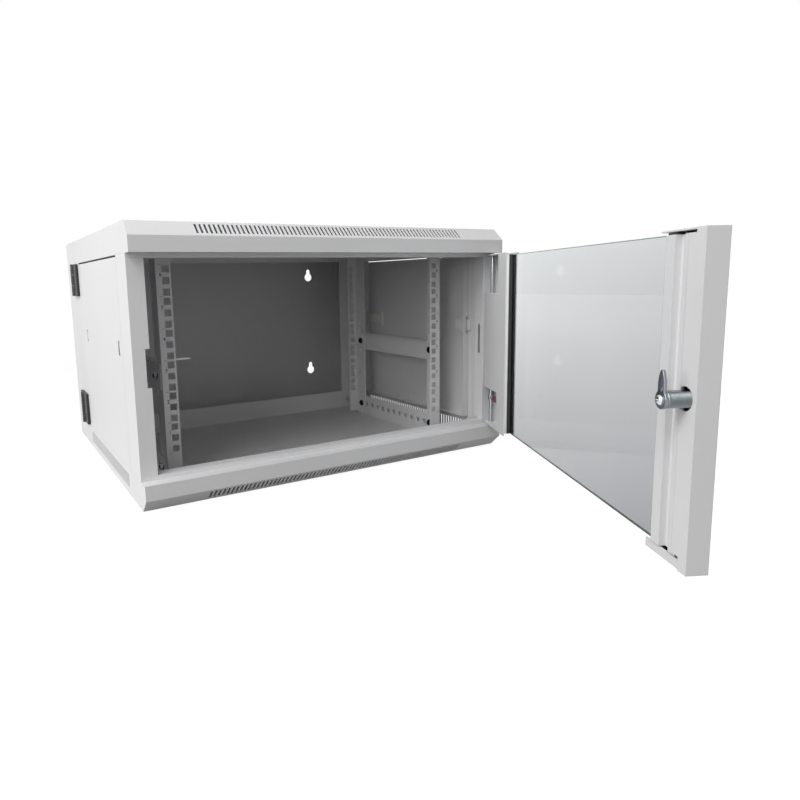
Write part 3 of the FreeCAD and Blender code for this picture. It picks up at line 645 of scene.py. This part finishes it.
def clips():
    """End clips over the glass at the lining's rib; the clips are real, their black is painted shade of the gap
    between the lining and the skin's return.
    """
    top = block("pane_clips_painted_shade", (-247.2, 10.5, 322.0), (-234.2, 17.8, 324.5))
    bottom = block("clip", (-247.2, 10.5, 43.5), (-234.2, 16.3, 51.0))
    return merge("pane_clips_painted_shade", [soften(top, 0.5), soften(bottom, 0.5)])


# The clips' black finish is painted shade, standing in for the shadowed gap round them
wear(on_door(clips()), "clip_plastic", "door", ["glass_clips"])


def rail_screw(y, z):
    """Right-hand rail bolt: button head with a hexagon socket towards the equipment."""
    face = RAIL_SIDE
    bolt = turned(
        "rail_bolt", (face, y, z), (-1, 0, 0),
        [(-8.4, 2.4), (-7.9, 3.0), (0, 3.0), (0.01, 6.0), (1.2, 6.0), (2.4, 5.5), (3.3, 4.6), (4.0, 3.0)], 32,
    )
    socket = turned("socket", (face, y, z), (-1, 0, 0), [(1.6, 2.3), (6, 2.3)], 6)
    carve(bolt, [socket])
    clear()
    bolt.select_set(True)
    bpy.context.view_layer.objects.active = bolt
    bpy.ops.object.shade_smooth_by_angle(angle=math.radians(35))
    return bolt


def rail_nut(y, z):
    """Right-hand nut behind the brace, with chamfered corners."""
    nut = turned(
        "rail_nut", (BRACE_BACK, y, z), (1, 0, 0), [(0, 6.0), (3.4, 6.0), (4.0, 5.4)], 6
    )
    bore = turned("bore", (BRACE_BACK, y, z), (1, 0, 0), [(-1, 3.0), (5, 3.0)], 24)
    return carve(nut, [bore])


def on_both_sides(name, right):
    """A right-hand set and its left-hand mirror image as one piece."""
    left = copy_of(right, name, Matrix.Scale(-1, 4, (1, 0, 0)))
    return merge(name, [right, left])


first_bolt = rail_screw(BOLT_ROWS[0], BOLT_HEIGHTS[0])
first_nut = rail_nut(BOLT_ROWS[0], BOLT_HEIGHTS[0])
bolts, nuts = [first_bolt], [first_nut]
for y in BOLT_ROWS:
    for z in BOLT_HEIGHTS:
        if (y, z) != (BOLT_ROWS[0], BOLT_HEIGHTS[0]):
            change = moved(0, y - BOLT_ROWS[0], z - BOLT_HEIGHTS[0])
            bolts.append(copy_of(first_bolt, "rail_bolt", change))
            nuts.append(copy_of(first_nut, "rail_nut", change))
wear(on_both_sides("brace_bolts", merge("brace_bolts", bolts)), "black_zinc", "front_section", ["rail_bolts"])
wear(on_both_sides("brace_nuts", merge("brace_nuts", nuts)), "zinc", "front_section", ["rail_nuts"])


def thumb_screw(z):
    """Captive seam screw: knurled head, and a slot for a coin."""
    clear()
    steps = [(-0.0, 5.4), (0.5, 6.0), (5.8, 6.0), (6.3, 5.6), (6.4, 4.4), (6.7, 4.4), (7.0, 4.0)]
    head = turned("seam_thumb_screw", (262.0, 447.7, z), (0, -1, 0), steps, 48)
    pick_faces(head, lambda face: abs(face.normal.y) < 0.3 and face.area > 3e-6)
    bpy.ops.mesh.inset(thickness=0.00012, depth=-0.00022, use_individual=True)
    leave_edit()
    slot = block("slot", (261.4, 430, z - 4.6), (262.6, 441.9, z + 4.6))
    carve(head, [slot])
    shank = turned("shank", (262.0, 446.7, z), (0, 1, 0), [(0, 3.0), (2.0, 3.0), (2.5, 2.6)], 32)
    return merge("seam_thumb_screw", [head, shank])


seam_lower = thumb_screw(20.0)
seam_upper = copy_of(seam_lower, "seam_thumb_screw_upper", moved(0, 0, 328))
wear(merge("seam_thumb_screws", [seam_lower, seam_upper]), "zinc", "front_section", ["seam_screws"])


def earth_stud():
    """Earth stud with thread, nut and toothed washer."""
    steps = [(0, 3.0), (8.5, 3.0)]
    for ring in range(7):
        steps += [(9 + ring, 2.6), (9.5 + ring, 3.0)]
    steps += [(15.6, 3.0), (16.0, 2.5)]
    stud = turned("earth_stud", (-195.0, 300.0, 0), (0, 0, 1), steps, 32)
    washer = turned("washer", (-195.0, 300.0, 0), (0, 0, 1), [(1.5, 6.0), (2.2, 6.0)], 24)
    nut = turned("nut", (-195.0, 300.0, 0), (0, 0, 1), [(2.2, 5.6), (2.5, 6.0), (4.1, 6.0), (4.5, 5.5)], 6)
    return merge("earth_stud", [stud, washer, nut])


wear(earth_stud(), "zinc", "front_section", ["ground_stud"])


def leaf(name, z, front):
    """Leaf of a swing hinge at the left side: bevelled plate, knuckles and countersunk screws."""
    seam = 449.6
    x = -304.8
    away = -1 if front else 1
    inner = seam + away * 4.6
    outer = seam + away * 31
    plate = block(name, (-305.0, min(inner, outer), z[0]), (-300.0, max(inner, outer), z[1]))
    soften(plate, 0.8, 3)
    third = (z[1] - z[0]) / 3
    spans = [(z[0] + third + 0.2, z[1] - third - 0.2)]
    if front:
        spans = [(z[0], z[0] + third - 0.2), (z[1] - third + 0.2, z[1])]
    pieces = [plate]
    for low, high in spans:
        knuckle = turned(
            "knuckle", (x, seam, 0), (0, 0, 1),
            [(low, 3.9), (low + 0.3, 4.2), (high - 0.3, 4.2), (high, 3.9)], 32,
        )
        near, far = sorted((seam, inner + away))
        web = block("web", (x, near, low + 0.1), (-300.6, far, high - 0.1))
        pieces += [knuckle, soften(web, 0.3)]
    screws = []
    for height in (z[0] + 12, z[1] - 12):
        y = seam + away * 20
        screw = turned(
            "screw", (-305.0, y, height), (-1, 0, 0), [(-1.0, 3.6), (0.02, 3.6), (0.35, 3.2), (0.5, 2.2)], 24
        )
        socket = turned("socket", (-305.0, y, height), (-1, 0, 0), [(-0.3, 1.7), (3, 1.7)], 6)
        screws.append(carve(screw, [socket]))
    return merge(name, pieces), merge(name + "_screws", screws)


for place, span in (("lower", (40.0, 96.0)), ("upper", (272.0, 328.0))):
    for side in ("front", "rear"):
        hinge, fixings = leaf(place + "_" + side + "_leaf", span, side == "front")
        body = side + "_section"
        wear(hinge, "black_paint", body, [place + "_swing_hinge_" + side + "_leaf"])
        wear(fixings, "black_zinc", body)


def hinge_pins():
    """Pins of the swing hinges, with their rounded heads."""
    pins = []
    for low, high in ((40.0, 96.0), (272.0, 328.0)):
        pins.append(
            turned(
                "pin", (-304.8, 449.6, 0), (0, 0, 1),
                [(low, 1.6), (low + 0.5, 2.2), (high - 0.5, 2.2), (high, 1.6)], 24,
            )
        )
    return merge("swing_pins", pins)


wear(hinge_pins(), "zinc", "rear_section", ["swing_hinge_pins"])


def unit_marks(side):
    """Printed unit numbers beside the square holes, and a tick where one unit meets the next."""
    marks = []
    for unit in range(6):
        height = LOWEST_UNIT + UNIT * (unit + 1) - 14.3
        clear()
        bpy.ops.object.text_add(rotation=(math.pi / 2, 0, 0))
        number = bpy.context.object
        number.data.body = str(unit + 1)
        number.data.size = 0.0068
        number.data.align_x = "CENTER"
        number.data.align_y = "CENTER"
        number.data.extrude = 0.00004
        number.data.offset = 0.00012
        bpy.ops.object.convert(target="MESH")
        number = bpy.context.object
        number.location = drawing(side * NUMERAL_X, RAIL_FACE - 0.05, height)
        marks.append(settle(number))
    for line in range(7):
        height = LOWEST_UNIT + UNIT * line
        inner, outer = sorted((side * 238.2, side * 242.2))
        marks.append(
            block("tick", (inner, RAIL_FACE - 0.08, height - 0.25), (outer, RAIL_FACE, height + 0.25))
        )
    return merge("right_unit_marks" if side > 0 else "left_unit_marks", marks)


for side in (-1, 1):
    wear(unit_marks(side), "ink", "front_section")


def wire_tie():
    """Tail of a wire tie behind the left front rail: a flat strip that droops and tapers to its tip."""
    tail = block("wire_tie_tail", (-243.0, 98.2, 183.4), (-224.0, 99.6, 186.0))
    for reach, drop, share in ((7.0, 0.0, 1.0), (7.0, 0.1, 0.9), (6.0, 0.3, 0.75)):
        pick_faces(tail, lambda face: face.normal.x > 0.7)
        bpy.ops.mesh.extrude_region_move(
            TRANSFORM_OT_translate={"value": (reach / 1000, 0, -drop / 1000)}
        )
        bpy.ops.transform.resize(value=(1, share, share), center_override=drawing(-210, 98.9, 184.7))
        leave_edit()
    return soften(tail, 0.25)


wear(wire_tie(), "white_nylon", "front_section")


def spring_latch(name, rear):
    """Right-hand slide latch of a side panel: its plate and its arm; latch_set adds the grip ridge and ribs."""
    towards = 1 if rear else -1
    low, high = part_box("right_rear_latch" if rear else "right_front_latch")
    near = low * 1000 + Vector((0, DEPTH_TO_ORIGIN, 0))
    far = high * 1000 + Vector((0, DEPTH_TO_ORIGIN, 0))
    outer = 298.2
    edge = far.y - 5.7 - 0.8 if rear else near.y + 5.7 + 0.8
    plate_near = far.y if rear else near.y
    plate_end = near.y if rear else far.y
    shift = 28.0
    plate_start = plate_end + towards * shift
    plate = block(
        name, (outer - 2, min(plate_start, plate_end), 193.5), (outer, max(plate_start, plate_end), 217.5)
    )
    arm = block(
        "arm", (outer - 2, min(plate_start - towards, plate_near), 196.0),
        (outer, max(plate_start - towards, plate_near), 215.0),
    )
    return soften(plate, 0.4), soften(arm, 0.4), plate_start


def latch_set(name, rear):
    """Latch with its finger ridge, ribbed for grip."""
    plate, arm, plate_start = spring_latch(name, rear)
    towards = 1 if rear else -1
    hole_near = plate_start - towards * 7.75
    ridge_start = hole_near - towards * 0.4
    ridge_end = ridge_start - towards * 3.0
    ridge = block(
        "ridge", (298.2, min(ridge_start, ridge_end), 198.83), (299.6, max(ridge_start, ridge_end), 212.17)
    )
    soften(ridge, 0.5)
    ribs = []
    for step in range(3):
        y = ridge_end - towards * (1.8 + 1.9 * step)
        rib = block("rib", (298.0, y - 0.4, 199.5), (298.55, y + 0.4, 211.5))
        ribs.append(soften(rib, 0.25))
    return merge(name, [plate, arm, ridge] + ribs)


for end in ("front", "rear"):
    right = latch_set("right_" + end + "_slide", end == "rear")
    left = copy_of(right, "left_" + end + "_slide", Matrix.Scale(-1, 4, (1, 0, 0)))
    for side, piece in (("right", right), ("left", left)):
        wear(piece, "latch_plastic", side + "_" + end + "_catch", [side + "_" + end + "_latch"])


# Floor and backdrop: white for the eye, in metal and through the glass, dim for light that bounces
def paper():
    """Seamless studio paper that keeps the cabinet's shadow."""
    material = bpy.data.materials.new("studio_paper")
    material.use_nodes = True
    tree = material.node_tree
    tree.nodes.remove(tree.nodes["Principled BSDF"])
    out = tree.nodes["Material Output"]
    sight = add(tree, "ShaderNodeLightPath")
    seen = add(
        tree, "ShaderNodeMath", {"operation": "MAXIMUM"},
        links={0: sight.outputs["Is Camera Ray"], 1: sight.outputs["Is Glossy Ray"]},
    )
    shown = add(
        tree, "ShaderNodeMath", {"operation": "MAXIMUM"},
        links={0: seen.outputs[0], 1: sight.outputs["Is Transmission Ray"]},
    )
    # The lamp's light fades with distance, so the paper's own white takes over away from the cabinet
    place = add(tree, "ShaderNodeTexCoord").outputs["Object"]
    reach = add(tree, "ShaderNodeVectorMath", {"operation": "LENGTH"}, links={0: place})
    white = add(
        tree, "ShaderNodeMapRange", values={"From Min": 0.4, "From Max": 2.4, "To Min": 0.88, "To Max": 1.0},
        links={"Value": reach.outputs["Value"]},
    )
    glow = add(
        tree, "ShaderNodeEmission", values={"Color": (1, 1, 1, 1)},
        links={"Strength": white.outputs["Result"]},
    )
    matt = add(tree, "ShaderNodeBsdfDiffuse", values={"Color": (0.16, 0.16, 0.16, 1)})
    dim = add(tree, "ShaderNodeBsdfDiffuse", values={"Color": (0.18, 0.18, 0.18, 1)})
    bright = add(tree, "ShaderNodeAddShader", links={0: glow.outputs[0], 1: matt.outputs[0]})
    mix = add(
        tree, "ShaderNodeMixShader", links={0: shown.outputs[0], 1: dim.outputs[0], 2: bright.outputs[0]}
    )
    tree.links.new(mix.outputs[0], out.inputs["Surface"])
    return material


clear()
bpy.ops.mesh.primitive_plane_add(size=14, location=(0, 1, 0))
studio_floor = bpy.context.object
studio_floor.name = "studio_floor"
studio_floor.data.materials.append(paper())

world = bpy.data.worlds.new("studio")
bpy.context.scene.world = world
world.use_nodes = True
sky = world.node_tree
sky_path = add(sky, "ShaderNodeLightPath")
sky_sharp = add(
    sky, "ShaderNodeMath", {"operation": "MAXIMUM"},
    links={0: sky_path.outputs["Is Glossy Ray"], 1: sky_path.outputs["Is Transmission Ray"]},
)
sky_seen = add(
    sky, "ShaderNodeMath", {"operation": "MAXIMUM"},
    links={0: sky_path.outputs["Is Camera Ray"], 1: sky_sharp.outputs[0]},
)
sky_level = add(
    sky, "ShaderNodeMapRange", values={"To Min": 0.34, "To Max": 1.0}, links={"Value": sky_seen.outputs[0]}
)
sky.nodes["Background"].inputs["Color"].default_value = (1, 1, 1, 1)
sky.links.new(sky_level.outputs["Result"], sky.nodes["Background"].inputs["Strength"])


def softbox(name, place, aim, size, power):
    """Square studio lamp aimed at a point; place, aim and size in metres, power in watts."""
    data = bpy.data.lights.new(name, "AREA")
    data.shape = "RECTANGLE"
    data.size, data.size_y = size
    data.energy = power
    lamp = bpy.data.objects.new(name, data)
    bpy.context.scene.collection.objects.link(lamp)
    lamp.location = place
    lamp.rotation_euler = (Vector(aim) - Vector(place)).to_track_quat("-Z", "Y").to_euler()
    return lamp


softbox("left_softbox", (-2.3, -0.5, 2.0), (-0.2, -0.1, 0.2), (1.4, 1.4), 40)
softbox("left_low_softbox", (-2.9, 0.3, 0.7), (-0.3, 0.0, 0.18), (1.4, 1.2), 18)
softbox("key_softbox", (-1.7, -1.6, 2.3), (-0.1, -0.1, 0.2), (1.2, 1.2), 25)
softbox("inside_softbox", (-2.2, -1.9, 0.9), (-0.1, -0.2, 0.18), (1.2, 1.2), 15)
softbox("top_softbox", (-0.2, -1.1, 2.8), (0, -0.2, 0.25), (1.6, 1.2), 8)

# Camera at the photograph's place; the sensor is 36 mm wide, and lens and shifts are worked out for a square
# frame, which is not set here
clear()
eye = bpy.data.cameras.new("photo_camera")
camera = bpy.data.objects.new("photo_camera", eye)
bpy.context.scene.collection.objects.link(camera)
bpy.context.scene.camera = camera
yaw, pitch, roll = -0.52407048, -0.15095565, -0.02215672
ahead = Vector((-math.sin(yaw) * math.cos(pitch), math.cos(yaw) * math.cos(pitch), math.sin(pitch)))
level = Vector((math.cos(yaw), math.sin(yaw), 0))
above = level.cross(ahead)
right = math.cos(roll) * level + math.sin(roll) * above
up = -math.sin(roll) * level + math.cos(roll) * above
camera.matrix_world = Matrix.Translation((-0.46398, -1.06323, 0.29171)) @ Matrix(
    ((right.x, up.x, -ahead.x), (right.y, up.y, -ahead.y), (right.z, up.z, -ahead.z))
).to_4x4()
eye.sensor_width = 36.0
eye.lens = 28.449
eye.shift_x = 0.0705
eye.shift_y = -0.0310
eye.clip_start = 0.02

bpy.context.scene.view_settings.view_transform = "Standard"
